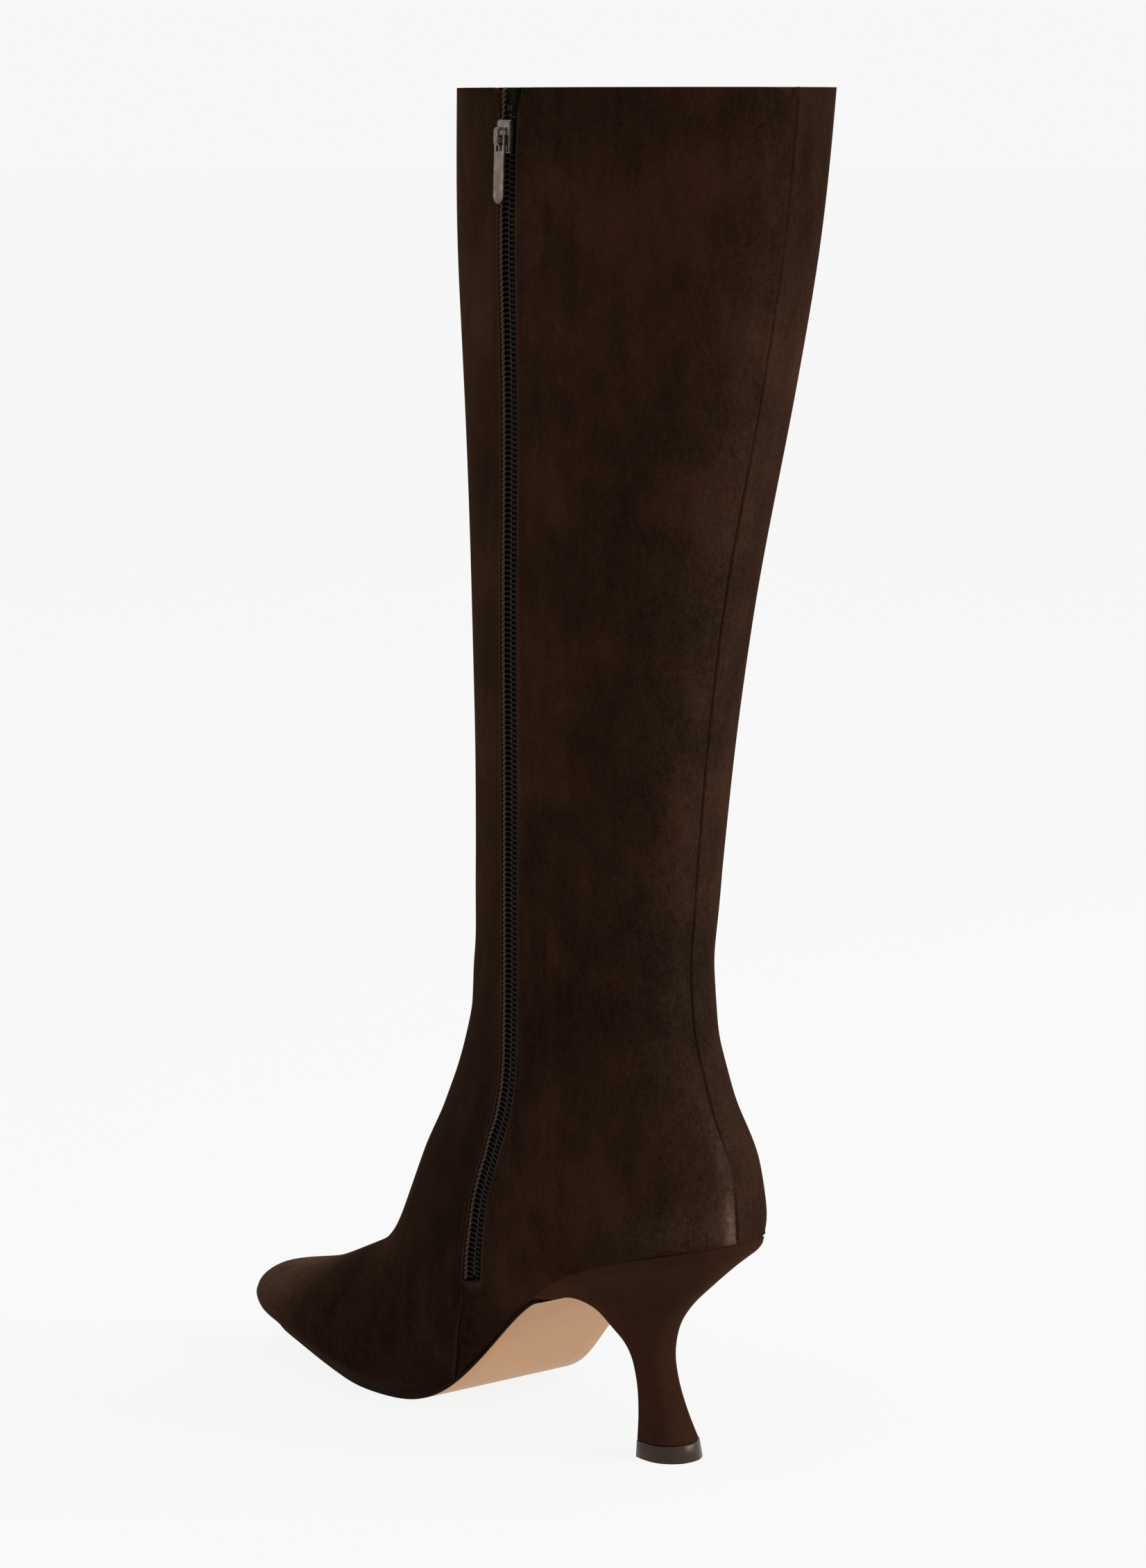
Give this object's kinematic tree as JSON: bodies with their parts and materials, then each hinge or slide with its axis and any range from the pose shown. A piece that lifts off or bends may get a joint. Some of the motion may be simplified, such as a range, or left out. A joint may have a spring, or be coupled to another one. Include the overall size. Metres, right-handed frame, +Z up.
{
  "type": "tall heeled boot",
  "caption": "Tall suede boot for the right foot: pointed toe, slim flared heel, thin leather sole and a long zip up the inside of the leg.",
  "frame": {"origin": "the middle of the heel tip's bottom face, on the floor", "axes": "+Z up the leg, toe towards -Y, +X to the inside of the right leg, where the zip is"},
  "size_m": [0.1025, 0.2545, 0.46],
  "materials": {
    "brown_suede": "dark chocolate-brown suede with a short brushed nap, matt",
    "heel_cover_suede": "the same dark brown suede, stretched over the heel, matt",
    "insole_leather": "smooth tan lining leather, satin",
    "tan_leather": "natural tan sole leather with a thin dark-brown edge, satin",
    "polished_heel_rubber": "polished dark-brown hard rubber, glossy",
    "brown_zip_coil": "woven dark-brown tape with a nylon coil, satin",
    "dark_zip_metal": "dark-brown coated metal, satin"
  },
  "bodies": {
    "boot": {"upper": "brown_suede", "insole": "insole_leather", "outsole": "tan_leather", "heel_cover": "heel_cover_suede", "heel_tip": "polished_heel_rubber", "zip_tape": "brown_zip_coil", "zip_slider": "dark_zip_metal"},
    "pull_tab": {"zip_pull": "dark_zip_metal"}
  },
  "joints": [
    {"name": "pull_tab_swing", "type": "hinge", "parent": "boot", "child": "pull_tab", "pos_m": [0.03677, -0.04399, 0.4441], "axis": [-0.0785, -0.9967, 0.0225], "range_deg": [0, 170]}
  ]
}
